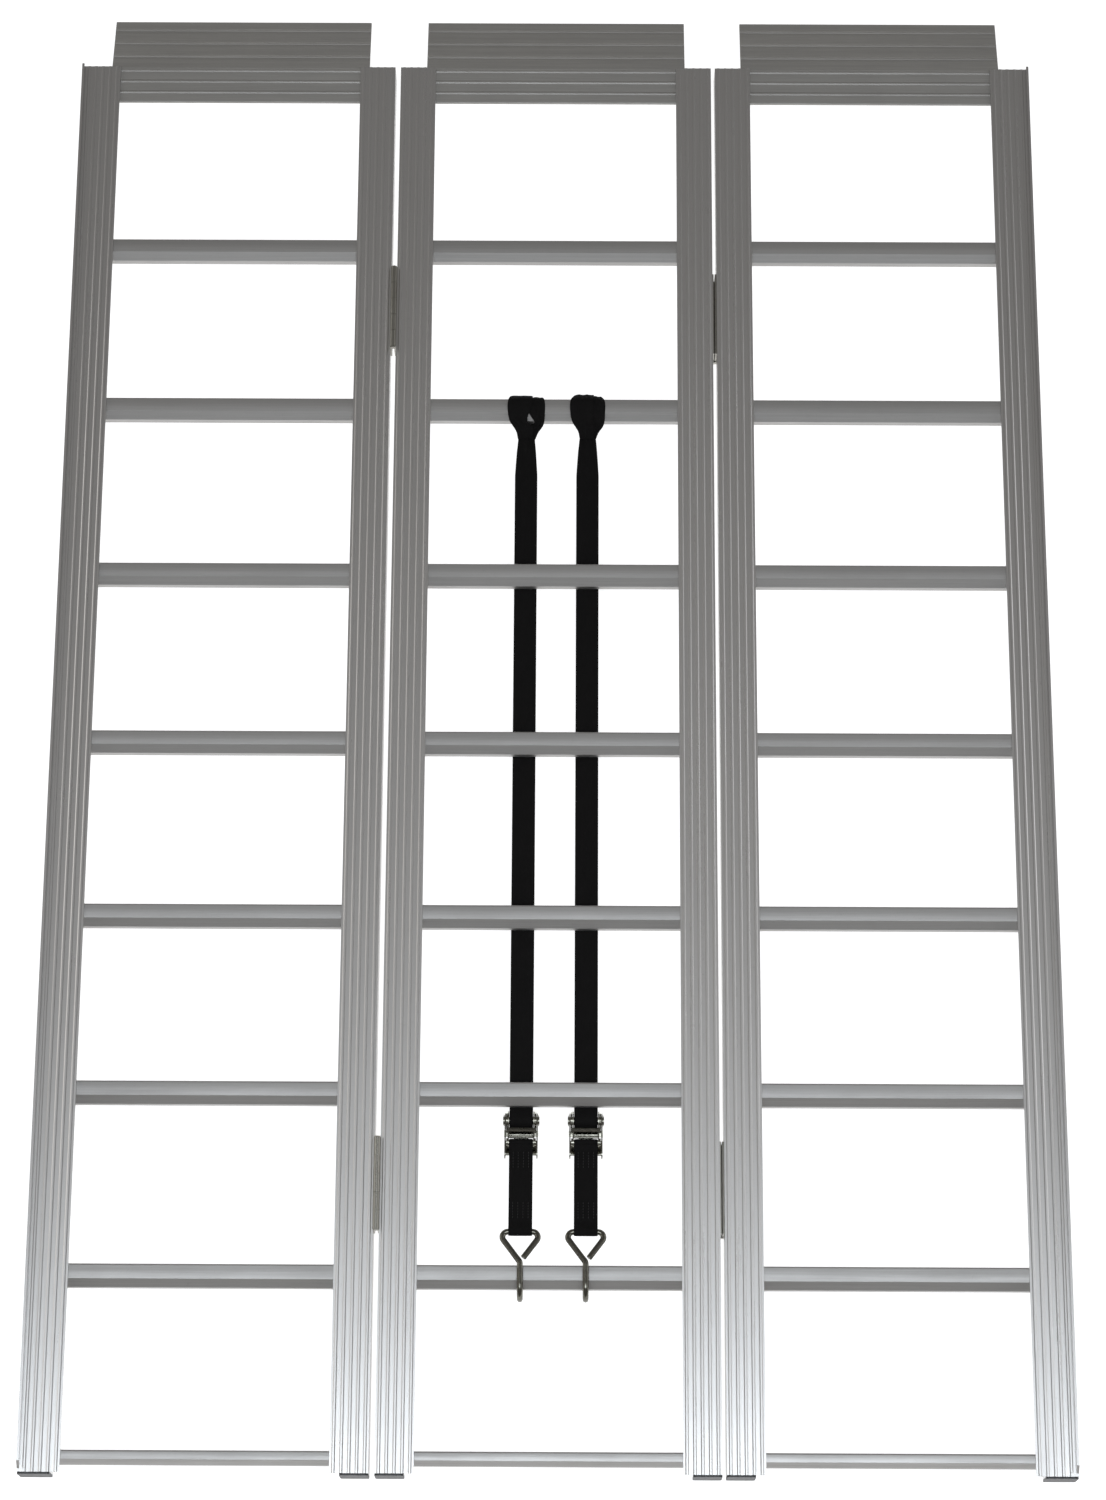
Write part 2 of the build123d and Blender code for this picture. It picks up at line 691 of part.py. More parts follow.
def build_lock_pawl(name, x):
    """The plate in the frame that holds the spool: ears through the frame's slots, a finger tab."""
    ear_half = gear_outside - lock_ear_margin
    with BuildPart() as pawl:
        with BuildSketch(ratchet_plane(x)):
            with Locations(((lock_body + lock_end) / 2, 0)):
                Rectangle(lock_end - lock_body, pawl_thickness)
            with Locations((lock_end - pawl_thickness / 2, lock_tab / 2)):
                Rectangle(pawl_thickness, lock_tab)
        extrude(amount=frame_inside / 2 - pawl_side_gap, both=True)
        with BuildSketch(ratchet_plane(x)):
            with Locations(((lock_body + lock_ear_end) / 2, 0)):
                Rectangle(lock_ear_end - lock_body, pawl_thickness)
        extrude(amount=ear_half, both=True)
        for side in (-1, 1):
            with BuildSketch(ratchet_plane(x + side * gear_inside)):
                with Locations(((lock_tip + lock_body) / 2, 0)):
                    Rectangle(lock_body - lock_tip, pawl_thickness)
            extrude(amount=ear_half - gear_inside, dir=(side, 0, 0))
    save(pawl, name)


def build_drive_pawl(name, x):
    """The plate in the handle: it rides on the frame's round heads and has a finger tab."""
    along = radians(drive_angle)
    with BuildPart() as pawl:
        for end, half in ((drive_end, handle_outside + drive_ear), (drive_tab_end, drive_tab_width / 2)):
            middle = (drive_tip + end) / 2
            with BuildSketch(ratchet_plane(x)):
                with Locations(Location((middle * cos(along), middle * sin(along)), drive_angle)):
                    Rectangle(end - drive_tip, pawl_thickness)
            extrude(amount=half, both=True)
    save(pawl, name)


# ---------------------------------------------------------------- hook
def build_hook(name, x):
    """One bent wire: an open triangle in the webbing's loop, a shank and a hook round rung 7."""
    down = (-cos(strap_slope), sin(strap_slope))
    y_rung = y_rungs[6]
    z_tip = z_rung - wire_radius - hook_throat_gap

    def eye_point(across, run):
        return (x + across, y_eye + run * down[0], z_eye + run * down[1])

    bend = (z_shank - z_tip) / 2 - bend_margin
    points = [
        eye_point(hook_eye_half * (1 - hook_free_end), hook_eye_height * hook_free_end),
        eye_point(hook_eye_half, 0),
        eye_point(-hook_eye_half, 0),
        eye_point(0, hook_eye_height),
        (x, y_rung - hook_bend_reach, z_shank),
        (x, y_rung - hook_bend_reach, z_tip),
        (x, y_rung - hook_tip_reach, z_tip),
    ]
    with BuildPart() as hook:
        with BuildLine() as wire:
            FilletPolyline(*points, radius=[hook_eye_corner, hook_eye_corner, hook_eye_corner, bend, bend])
        with BuildSketch(Plane(origin=wire.line @ 0, z_dir=wire.line % 0)):
            Circle(wire_radius)
        sweep()
        fillet(hook.faces().filter_by(GeomType.PLANE).edges(), hook_end_round)
    save(hook, name)


# ---------------------------------------------------------------- assembly
rail_names = {
    "left": ("left_outer_rail", "left_inner_rail"),
    "centre": ("centre_left_rail", "centre_right_rail"),
    "right": ("right_inner_rail", "right_outer_rail"),
}
for panel, (x_from, x_to, outer_left, outer_right) in panels.items():
    left_rivets = [gaps["left"][4] - leaf_rivet_depth] if panel == "centre" else []
    right_rivets = [gaps["right"][4] + leaf_rivet_depth] if panel == "centre" else []
    if panel == "left":
        right_rivets = [gaps["left"][4] - leaf_rivet_depth]
    if panel == "right":
        left_rivets = [gaps["right"][4] + leaf_rivet_depth]
    build_rail(rail_names[panel][0], x_from, 1, outer_left, left_rivets)
    build_rail(rail_names[panel][1], x_to, -1, outer_right, right_rivets)
    x_wall = x_from + box_of(outer_left)
    clear_length = x_to - box_of(outer_right) - x_wall
    for number in range(len(rung_places)):
        build_rung(f"{panel}_rung_{number + 1}", x_wall, clear_length, number)
    build_lip(f"{panel}_lip_plate", x_wall, clear_length)
    build_plugs(f"{panel}_end_plugs", [(x_from, 1, outer_left), (x_to, -1, outer_right)])

hinge_seats = {
    "left": [("left", -1, False)],
    "centre": [("left", 1, True), ("right", -1, True)],
    "right": [("right", 1, False)],
}
for panel, seats in hinge_seats.items():
    build_leaves(f"{panel}_hinge_leaves", seats)
    build_rivets(f"{panel}_hinge_rivets", seats)
build_pins()

build_hook_webbings()
for number, place in enumerate(strap_places, start=1):
    x_strap = x_middle + place
    build_webbing(f"strap_{number}_webbing", x_strap)
    build_wound(f"strap_{number}_wound_webbing", x_strap)
    build_frame(f"strap_{number}_ratchet_frame", x_strap)
    build_spool(f"strap_{number}_spool", x_strap)
    build_handle(f"strap_{number}_handle", x_strap)
    build_lock_pawl(f"strap_{number}_lock_pawl", x_strap)
    build_drive_pawl(f"strap_{number}_drive_pawl", x_strap)
    build_hook(f"strap_{number}_hook", x_strap)

print(f"overall {overall_width:.1f} x {overall_length:.2f}, tread {z_tread:.2f}")
print(f"spool axis y {y_spool:.3f} z {z_spool:.3f}, arm {degrees(arm_slope):.2f} deg")
print(f"hook eye y {y_eye:.3f} z {z_eye:.3f}, strap {degrees(strap_slope):.2f} deg")
for side, gap in gaps.items():
    print(f"{side} hinge axis x {gap[0]:.3f} z {gap[2]:.3f}")
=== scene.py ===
"""Tri-fold aluminium loading ramp with two ratchet tie-down straps, lying open on its back.

+X runs across the three panels, +Y up the ramp to the lip plates and +Z out of the tread. Metres.
"""
import json
import math

import bpy
import numpy as np
from mathutils import Euler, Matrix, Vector


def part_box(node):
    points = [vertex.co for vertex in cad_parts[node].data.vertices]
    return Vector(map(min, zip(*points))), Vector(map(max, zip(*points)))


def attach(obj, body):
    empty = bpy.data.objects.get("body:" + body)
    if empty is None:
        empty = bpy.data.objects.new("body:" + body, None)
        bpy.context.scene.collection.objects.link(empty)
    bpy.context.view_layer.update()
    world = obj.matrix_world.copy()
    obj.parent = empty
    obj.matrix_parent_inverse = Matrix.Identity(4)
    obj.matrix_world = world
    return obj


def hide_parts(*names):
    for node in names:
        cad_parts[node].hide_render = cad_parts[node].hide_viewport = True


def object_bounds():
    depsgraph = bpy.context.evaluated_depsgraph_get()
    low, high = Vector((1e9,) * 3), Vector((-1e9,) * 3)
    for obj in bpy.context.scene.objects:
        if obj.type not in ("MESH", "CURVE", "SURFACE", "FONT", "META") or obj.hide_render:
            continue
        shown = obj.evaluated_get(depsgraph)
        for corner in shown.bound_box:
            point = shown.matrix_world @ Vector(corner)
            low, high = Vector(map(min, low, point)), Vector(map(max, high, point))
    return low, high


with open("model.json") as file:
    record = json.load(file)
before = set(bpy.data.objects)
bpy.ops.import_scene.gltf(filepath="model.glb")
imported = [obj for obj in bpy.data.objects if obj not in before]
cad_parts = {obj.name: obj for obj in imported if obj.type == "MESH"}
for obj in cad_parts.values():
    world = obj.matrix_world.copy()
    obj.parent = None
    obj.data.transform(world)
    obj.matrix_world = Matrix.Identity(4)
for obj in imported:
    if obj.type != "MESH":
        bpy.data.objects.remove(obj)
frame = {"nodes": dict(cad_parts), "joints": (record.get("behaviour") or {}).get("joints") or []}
cad_low, cad_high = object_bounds()
joints = {joint["name"]: joint for joint in frame["joints"]}

# ---------------------------------------------------------------- room
# A pale studio: a white floor, a dim dome with a light horizon, a long soft box at each side and
# a large cool one high beyond the foot of the ramp, which brightens the lower rail ends.
camera_place = (0.0184, -1.4803, 4.5628)
camera_turn = (17.387, 0.118, 0.289)  # degrees
camera_lens = 89.59
camera_reach = 100

camera = bpy.data.objects.new("camera", bpy.data.cameras.new("camera"))
bpy.context.scene.collection.objects.link(camera)
camera.location = camera_place
camera.rotation_euler = Euler([math.radians(angle) for angle in camera_turn], "XYZ")
camera.data.lens = camera_lens
camera.data.clip_end = camera_reach
bpy.context.scene.camera = camera
bpy.context.scene.view_settings.view_transform = "Standard"


def put(tree, kind, inputs=None, **settings):
    """A new node with its settings, and each input joined to a socket or set to a value."""
    made = tree.nodes.new(kind)
    for name, value in settings.items():
        setattr(made, name, value)
    for name, value in (inputs or {}).items():
        if isinstance(value, bpy.types.NodeSocket):
            tree.links.new(value, made.inputs[name])
        else:
            made.inputs[name].default_value = value
    return made


def soft_box(name, place, aim, size, power, tint):
    """A rectangular lamp that lights and is reflected, and that the camera doesn't see."""
    lamp = bpy.data.lights.new(name, "AREA")
    lamp.shape = "RECTANGLE"
    lamp.size, lamp.size_y = size
    lamp.energy = power
    lamp.color = tint
    holder = bpy.data.objects.new(name, lamp)
    bpy.context.scene.collection.objects.link(holder)
    holder.location = place
    holder.rotation_euler = (Vector(aim) - Vector(place)).to_track_quat("-Z", "Y").to_euler()
    holder.visible_camera = False


side_distance, side_height = 3.2, 1.5
side_size, side_power = (3.6, 1.6), 18
side_tints = {-1: (1.0, 0.98, 0.95), 1: (0.97, 0.98, 1.0)}
for side, tint in side_tints.items():
    place = (side * side_distance, 0.0, side_height)
    soft_box(f"side_{side}", place, (0, 0, 0), side_size, side_power, tint)

high_y, high_height = -1.48, 4.0
high_size, high_power, high_tint = (3.4, 1.65), 86, (0.86, 0.93, 1.0)
soft_box("high", (0, high_y, high_height), (0, high_y, 0), high_size, high_power, high_tint)

# the dome's level by the height of the direction, from the horizon at 0 to straight up at 1
dome_steps = [
    (0.0, 0.9), (0.05, 0.8), (0.1, 0.24), (0.5, 0.22), (0.88, 0.2),
    (0.906, 0.22), (0.94, 0.29), (0.978, 0.45), (1.0, 0.5),
]
dome_green, dome_blue = 0.98, 0.955  # a little warmer than grey

world = bpy.data.worlds.new("dome")
bpy.context.scene.world = world
world.use_nodes = True
sky = world.node_tree
sky.nodes.clear()
direction = put(sky, "ShaderNodeTexCoord").outputs["Generated"]
height = put(sky, "ShaderNodeSeparateXYZ", {"Vector": direction}).outputs["Z"]
dome = put(sky, "ShaderNodeValToRGB", {"Fac": height})
ramp = dome.color_ramp
while len(ramp.elements) < len(dome_steps):
    ramp.elements.new(0.5)
for element, (place, level) in zip(ramp.elements, dome_steps):
    element.position = place
    element.color = (level, level * dome_green, level * dome_blue, 1)
glow = put(sky, "ShaderNodeBackground", {"Color": dome.outputs["Color"], "Strength": 1.0})
put(sky, "ShaderNodeOutputWorld", {"Surface": glow.outputs["Background"]})

# the floor lies just below where the right panel reaches when it is folded under the others
floor_reach = 30.0
floor_glow = 0.75
floor_margin = 0.001
floor_level = 2 * joints["right_fold"]["pos_m"][2] - cad_high[2] - floor_margin
corners = [(x * floor_reach, y * floor_reach) for x, y in ((-1, -1), (1, -1), (1, 1), (-1, 1))]
floor_mesh = bpy.data.meshes.new("floor")
floor_mesh.from_pydata([(x, y, floor_level) for x, y in corners], [], [(0, 1, 2, 3)])
floor = bpy.data.objects.new("floor", floor_mesh)
bpy.context.scene.collection.objects.link(floor)

# it glows to the camera and in reflections, so that it is white without lighting the ramp more
floor_paint = bpy.data.materials.new("floor_paint")
floor_paint.use_nodes = True
tree = floor_paint.node_tree
tree.nodes.clear()
path = put(tree, "ShaderNodeLightPath").outputs
seen = put(
    tree, "ShaderNodeMath", {0: path["Is Camera Ray"], 1: path["Is Glossy Ray"]}, operation="ADD"
)
seen = put(
    tree, "ShaderNodeMath", {0: seen.outputs[0], 1: path["Is Transmission Ray"]},
    operation="ADD", use_clamp=True,
)
strength = put(tree, "ShaderNodeMath", {0: seen.outputs[0], 1: floor_glow}, operation="MULTIPLY")
matt = put(tree, "ShaderNodeBsdfDiffuse", {"Color": (0.8, 0.8, 0.8, 1)})
lit = put(tree, "ShaderNodeEmission", {"Color": (1, 1, 1, 1), "Strength": strength.outputs[0]})
both = put(tree, "ShaderNodeAddShader", {0: matt.outputs[0], 1: lit.outputs[0]})
put(tree, "ShaderNodeOutputMaterial", {"Surface": both.outputs[0]})
floor_mesh.materials.append(floor_paint)


# ---------------------------------------------------------------- side rails
# Six extruded aluminium rails in mill finish. The die leaves fine lines along them, handling adds
# short scuffs, and the metal is a little cloudy where it has been stored.
def new_group(name, inputs, outputs):
    """An empty shader group; returns it, its input sockets and its output node."""
    group = bpy.data.node_groups.new(name, "ShaderNodeTree")
    for title, kind, value in inputs:
        socket = group.interface.new_socket(title, in_out="INPUT", socket_type=f"NodeSocket{kind}")
        socket.default_value = value
    for title, kind in outputs:
        group.interface.new_socket(title, in_out="OUTPUT", socket_type=f"NodeSocket{kind}")
    return group, group.nodes.new("NodeGroupInput").outputs, group.nodes.new("NodeGroupOutput")


def finish_group(group, end, results):
    """Join the results to the group's outputs."""
    for title, socket in results.items():
        group.links.new(socket, end.inputs[title])


def noise(tree, vector, scale, detail=2.0, rough=0.5):
    """Smooth noise from 0 to 1."""
    inputs = {"Vector": vector, "Scale": scale, "Detail": detail, "Roughness": rough}
    return put(tree, "ShaderNodeTexNoise", inputs).outputs[0]


def spread(tree, value, low, high, to_low=0.0, to_high=1.0):
    """Map a range of values onto another, clamped."""
    inputs = {0: value, 1: low, 2: high, 3: to_low, 4: to_high}
    return put(tree, "ShaderNodeMapRange", inputs).outputs[0]


def calc(tree, operation, a, b):
    """One sum with two values."""
    return put(tree, "ShaderNodeMath", {0: a, 1: b}, operation=operation).outputs[0]


def stretched(tree, vector, factors):
    """A vector multiplied by one factor along each axis."""
    inputs = {0: vector, 1: factors}
    return put(tree, "ShaderNodeVectorMath", inputs, operation="MULTIPLY").outputs[0]


def mixed(tree, share, first, second):
    """The first colour where the share is 0 and the second where it is 1."""
    inputs = {0: share, 6: first, 7: second}
    return put(tree, "ShaderNodeMix", inputs, data_type="RGBA").outputs[2]


# Drawn metal: lines along the drawing direction, cloudy stains, short scuffs and specks of grit.
scuff_colour, scuff_strength, scuff_roughness, scuff_depth = (0.30, 0.29, 0.28, 1), 0.35, 0.08, 0.6
grit_colour, grit_strength = (0.22, 0.21, 0.2, 1), 0.12
drawn, given, end = new_group(
    "drawn_metal",
    [
        ("Place", "Vector", (0, 0, 0)), ("Stretch", "Vector", (1, 1, 1)),
        ("Lines per Metre", "Float", 900.0),
        ("Clean", "Color", (0.7, 0.7, 0.7, 1)), ("Dull", "Color", (0.5, 0.5, 0.5, 1)),
        ("Smoothest", "Float", 0.3), ("Roughest", "Float", 0.45),
    ],
    [("Color", "Color"), ("Roughness", "Float"), ("Height", "Float")],
)
along = stretched(drawn, given["Place"], given["Stretch"])
fine = noise(drawn, along, given["Lines per Metre"], detail=3.0, rough=0.6)
broad = noise(drawn, along, 120.0)
cloud = noise(drawn, given["Place"], 7.0, detail=4.0, rough=0.6)
scuff_place = stretched(drawn, given["Place"], (60.0, 22.0, 40.0))
scuff = noise(drawn, scuff_place, 1.0, detail=5.0, rough=0.75)
scuff = spread(drawn, scuff, low=0.70, high=0.78)
grit = spread(drawn, noise(drawn, given["Place"], 420.0, detail=1.0), low=0.62, high=0.8)
fine_share, broad_share, cloud_share = 0.35, 0.35, 0.3
tone = calc(drawn, "MULTIPLY", fine, fine_share)
tone = calc(drawn, "ADD", tone, calc(drawn, "MULTIPLY", broad, broad_share))
tone = calc(drawn, "ADD", tone, calc(drawn, "MULTIPLY", cloud, cloud_share))
tone = spread(drawn, tone, low=0.36, high=0.64)
metal = mixed(drawn, tone, given["Dull"], given["Clean"])
marked = mixed(drawn, calc(drawn, "MULTIPLY", scuff, scuff_strength), metal, scuff_colour)
dirty = mixed(drawn, calc(drawn, "MULTIPLY", grit, grit_strength), marked, grit_colour)
rough = spread(drawn, tone, 0.0, 1.0, to_low=given["Roughest"], to_high=given["Smoothest"])
rough = calc(drawn, "ADD", rough, calc(drawn, "MULTIPLY", scuff, scuff_roughness))
high = calc(drawn, "SUBTRACT", fine, calc(drawn, "MULTIPLY", scuff, scuff_depth))
finish_group(drawn, end, {"Color": dirty, "Roughness": rough, "Height": high})


def new_material(name):
    """A material with an empty Principled shader; returns the material, its tree and the shader."""
    made = bpy.data.materials.new(name)
    made.use_nodes = True
    shader = made.node_tree.nodes["Principled BSDF"]
    return made, made.node_tree, shader


def raise_surface(tree, shader, height_socket, depth):
    """Feed a height into the shader's normal through a Bump; depth is in metres."""
    inputs = {"Height": height_socket, "Strength": 1.0, "Distance": depth}
    bump = put(tree, "ShaderNodeBump", inputs)
    tree.links.new(bump.outputs[0], shader.inputs["Normal"])


def drawn_metal(name, stretch, clean, dull, smoothest, roughest, line_depth, lines=900.0):
    """A metal whose lines run along the axis that the stretch shortens."""
    made, tree, shader = new_material(name)
    place = put(tree, "ShaderNodeTexCoord").outputs["Object"]
    look = put(tree, "ShaderNodeGroup", node_tree=drawn)
    tree.links.new(place, look.inputs["Place"])
    values = {
        "Stretch": stretch, "Lines per Metre": lines, "Clean": (*clean, 1), "Dull": (*dull, 1),
        "Smoothest": smoothest, "Roughest": roughest,
    }
    for title, value in values.items():
        look.inputs[title].default_value = value
    tree.links.new(look.outputs["Color"], shader.inputs["Base Color"])
    tree.links.new(look.outputs["Roughness"], shader.inputs["Roughness"])
    shader.inputs["Metallic"].default_value = 1.0
    raise_surface(tree, shader, look.outputs["Height"], line_depth)
    return made


def dress(node, material):
    """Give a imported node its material."""
    piece = frame["nodes"][node]
    piece.data.materials.clear()
    piece.data.materials.append(material)


panel_names = ["left", "centre", "right"]
rail_names = [
    "left_outer_rail", "left_inner_rail", "centre_left_rail",
    "centre_right_rail", "right_inner_rail", "right_outer_rail",
]
rail_metal = drawn_metal(
    "mill_aluminium_rail", stretch=(1.0, 0.012, 1.0),
    clean=(0.62, 0.615, 0.61), dull=(0.54, 0.53, 0.52),
    smoothest=0.26, roughest=0.34, line_depth=0.00003,
)
for rail in rail_names:
    dress(rail, rail_metal)


# ---------------------------------------------------------------- rungs
# Eight hollow extruded rungs on each panel, drawn across the ramp, with a crowned top and a
# sloped downhill shoulder. The last rung of each panel is smaller.
rungs_per_panel = 8
rung_metal = drawn_metal(
    "mill_aluminium_rung", stretch=(0.012, 1.0, 1.0),
    clean=(0.47, 0.46, 0.45), dull=(0.39, 0.38, 0.37),
    smoothest=0.46, roughest=0.58, line_depth=0.00004,
)
for panel in panel_names:
    for number in range(1, rungs_per_panel + 1):
        dress(f"{panel}_rung_{number}", rung_metal)


# ---------------------------------------------------------------- lip plates
# Three bent plates at the top, with low ridges across them. They rub on tailgates, so they are
# the dullest aluminium on the ramp.
lip_metal = drawn_metal(
    "mill_aluminium_lip", stretch=(0.02, 1.0, 1.0),
    clean=(0.48, 0.47, 0.45), dull=(0.39, 0.38, 0.365),
    smoothest=0.6, roughest=0.7, line_depth=0.00005,
)
for panel in panel_names:
    dress(f"{panel}_lip_plate", lip_metal)


# ---------------------------------------------------------------- end plugs
# Black moulded plastic plugs in the rails' bottom ends, with a fine moulded grain and paler
# scrapes from being stood on.
plug_black, plug_scraped = (0.022, 0.022, 0.023, 1), (0.06, 0.058, 0.055, 1)
grain_depth = 0.00005
plug_plastic, tree, shader = new_material("moulded_plastic")
place = put(tree, "ShaderNodeTexCoord").outputs["Object"]
grain = noise(tree, place, 2600.0)
scrape = spread(tree, noise(tree, place, 160.0, detail=4.0, rough=0.7), low=0.56, high=0.7)
tree.links.new(mixed(tree, scrape, plug_black, plug_scraped), shader.inputs["Base Color"])
roughness = spread(tree, scrape, 0.0, 1.0, to_low=0.48, to_high=0.7)
tree.links.new(roughness, shader.inputs["Roughness"])
raise_surface(tree, shader, grain, grain_depth)
for panel in panel_names:
    dress(f"{panel}_end_plugs", plug_plastic)


# ---------------------------------------------------------------- hinges
# Plated steel butt hinges: five knuckles on a pin, and leaves riveted to the rails' walls. The
# steel's colour is darkened for the shadow that the hinges lie in: painted shade.
hinge_steel_painted_shade = drawn_metal(
    "plated_hinge_steel", stretch=(1.0, 0.05, 1.0),
    clean=(0.46, 0.45, 0.41), dull=(0.24, 0.23, 0.2),
    smoothest=0.24, roughest=0.36, line_depth=0.00002,
)
for panel in panel_names:
    dress(f"{panel}_hinge_leaves", hinge_steel_painted_shade)
    dress(f"{panel}_hinge_rivets", hinge_steel_painted_shade)
dress("hinge_pins", hinge_steel_painted_shade)


# ---------------------------------------------------------------- ratchet buckles
# Pressed steel buckles, zinc plated with a slight yellow passivation. The wire hooks have the same
# plating; their darker copy of it is painted shade, for the dark room that the wire reflects.
strap_numbers = (1, 2)
zinc = drawn_metal(
    "yellowish_zinc", stretch=(1.0, 1.0, 1.0),
    clean=(0.31, 0.30, 0.26), dull=(0.15, 0.145, 0.12),
    smoothest=0.18, roughest=0.34, line_depth=0.00003, lines=300.0,
)
# the hooks' copy of the zinc is darker than the plating is: painted shade
wire_zinc_painted_shade = drawn_metal(
    "hook_zinc_painted_shade", stretch=(1.0, 1.0, 1.0),
    clean=(0.2, 0.195, 0.165), dull=(0.1, 0.095, 0.08),
    smoothest=0.14, roughest=0.26, line_depth=0.00002, lines=300.0,
)
for number in strap_numbers:
    for part in ("ratchet_frame", "spool", "handle", "lock_pawl", "drive_pawl"):
        dress(f"strap_{number}_{part}", zinc)
    dress(f"strap_{number}_hook", wire_zinc_painted_shade)


# ---------------------------------------------------------------- welds
# Each rung and each lip plate is welded to the rails' box walls with a short rippled bead, hidden
# from above by the rails' flanges.
def ease(points, step, reach, closed=False):
    """Points set evenly along a line of them, with the corners eased over the reach.

    The first three numbers of a point are its place. Any others are eased along with it.
    """
    line = np.array(points, float)
    if closed:
        line = np.vstack([line, line[:1]])
    far = np.concatenate([[0], np.cumsum(np.linalg.norm(np.diff(line[:, :3], axis=0), axis=1))])
    count = max(int(round(far[-1] / step)), 4)
    at = np.linspace(0, far[-1], count + 1)
    even = np.stack([np.interp(at, far, column) for column in line.T], 1)
    if closed:
        even = even[:-1]
    for _ in range(max(int(round((reach / step) ** 2)), 1)):
        eased = (np.roll(even, 1, 0) + 2 * even + np.roll(even, -1, 0)) / 4
        if not closed:
            eased[0], eased[-1] = even[0], even[-1]
        even = eased
    return even


def skin(name, rings, closed, places=None):
    """One mesh from rings of equal length, capped at its ends unless it closes on itself.

    Places are kept at the points for the weave: across and along the webbing, and its side.
    """
    count, size = rings.shape[:2]
    mesh = bpy.data.meshes.new(name)
    faces = []
    for i in range(count if closed else count - 1):
        here, there = i * size, (i + 1) % count * size
        for j in range(size):
            k = (j + 1) % size
            faces.append((here + j, here + k, there + k, there + j))
    if not closed:
        faces += [tuple(range(size))[::-1], tuple(range((count - 1) * size, count * size))]
    mesh.from_pydata(rings.reshape(-1, 3).tolist(), [], faces)
    if places is not None:
        kept = mesh.attributes.new("weave", "FLOAT_VECTOR", "POINT")
        kept.data.foreach_set("vector", places.reshape(-1).astype(np.float32))
    mesh.shade_smooth()
    piece = bpy.data.objects.new(name, mesh)
    bpy.context.scene.collection.objects.link(piece)
    return piece


def joined(name, pieces):
    """Several meshes as one piece."""
    first = pieces[0]
    with bpy.context.temp_override(
        active_object=first, object=first, selected_editable_objects=pieces
    ):
        bpy.ops.object.join()
    first.name = name
    return first


weld_radius = 0.0021
weld_pitch = 0.0016  # from one ripple to the next
weld_ripple = 0.14  # the ripples' height, as a share of the radius
weld_steps = 5  # rings to a ripple
weld_sides = 8
weld_easing = 0.002
weld_taper = 0.3  # the share of the radius that a bead starts and ends with


def bead(path):
    """A weld bead along a path: a round run with the ripples that the torch leaves."""
    line = ease(path, weld_pitch / weld_steps, weld_easing)
    way = np.gradient(line, axis=0)
    way /= np.linalg.norm(way, axis=1)[:, None]
    side = np.cross(way, (1.0, 0, 0))
    side /= np.linalg.norm(side, axis=1)[:, None] + 1e-9
    other = np.cross(way, side)
    ripples = np.linspace(0, len(line) / weld_steps, len(line))
    tapered = np.minimum(1, weld_taper + np.minimum(ripples, ripples[::-1]) / 2)
    thick = weld_radius * (1 + weld_ripple * np.sin(2 * np.pi * ripples)) * tapered
    angles = np.linspace(0, 2 * np.pi, weld_sides + 1)[:-1]
    rings = [line + thick[:, None] * (math.cos(a) * side + math.sin(a) * other) for a in angles]
    return skin("bead", np.stack(rings, 1), False)


lip_weld_margin = 0.003  # from the lip plate's lower edge to its bead
lip_weld_stop = 0.048
lip_weld_drop = 0.0055  # from the lip plate's top down to its bead
rung_weld_share = 0.55  # the beads climb this share of a rung's height
weld_metal = drawn_metal(
    "weld_aluminium", stretch=(1.0, 1.0, 1.0),
    clean=(0.66, 0.65, 0.63), dull=(0.4, 0.39, 0.37),
    smoothest=0.32, roughest=0.5, line_depth=0.00004, lines=500.0,
)
for panel in panel_names:
    beads = []
    for part in [f"rung_{number}" for number in range(1, rungs_per_panel + 1)] + ["lip_plate"]:
        low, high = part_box(f"{panel}_{part}")
        if part == "lip_plate":
            level = high[2] - lip_weld_drop
            run = [(low[1] + lip_weld_margin, level), (low[1] + lip_weld_stop, level)]
        else:
            up = low[2] + rung_weld_share * (high[2] - low[2])
            run = [(low[1], up), (low[1], low[2]), (high[1], low[2]), (high[1], up)]
        beads += [bead([(x, y, z) for y, z in run]) for x in (low[0], high[0])]
    welds = joined(f"{panel}_welds", beads)
    welds.data.materials.append(weld_metal)
    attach(welds, f"{panel}_panel")


# ---------------------------------------------------------------- webbing
# Black polyester webbing, woven 29.2 mm wide and 1.4 mm thick, in a plain rib weave with a
# rounded selvage. All the straps are cut from it.
webbing_width = 0.0292
webbing_thickness = 0.0014
soft_gap = 0.0003

# Rib weave: each yarn bulges across its width and along each pick, with fibres over it.
yarn_roundness = 2.6
fibre_height = 0.25
weave, given, end = new_group(
    "rib_weave",
    [
        ("Place", "Vector", (0, 0, 0)), ("Yarn Width", "Float", 0.0011),
        ("Pick Length", "Float", 0.0013),
    ],
    [("Height", "Float"), ("Shade", "Float")],
)
parts = put(weave, "ShaderNodeSeparateXYZ", {"Vector": given["Place"]}).outputs
column = calc(weave, "DIVIDE", parts["X"], given["Yarn Width"])
pick = calc(weave, "DIVIDE", parts["Y"], given["Pick Length"])
odd_column = calc(weave, "FLOORED_MODULO", calc(weave, "FLOOR", column, 0.0), 2.0)
offset = calc(weave, "MULTIPLY", odd_column, 0.5)
across = calc(weave, "SUBTRACT", calc(weave, "FRACT", column, 0.0), 0.5)
shifted = calc(weave, "FRACT", calc(weave, "ADD", pick, offset), 0.0)
along = calc(weave, "SUBTRACT", shifted, 0.5)
across = calc(weave, "MULTIPLY", across, across)
along = calc(weave, "MULTIPLY", along, along)
bulge = calc(weave, "MULTIPLY", calc(weave, "ADD", across, along), yarn_roundness)
yarn = calc(weave, "SUBTRACT", 1.0, bulge)
fibre = noise(weave, stretched(weave, given["Place"], (9000.0, 900.0, 1.0)), 1.0)
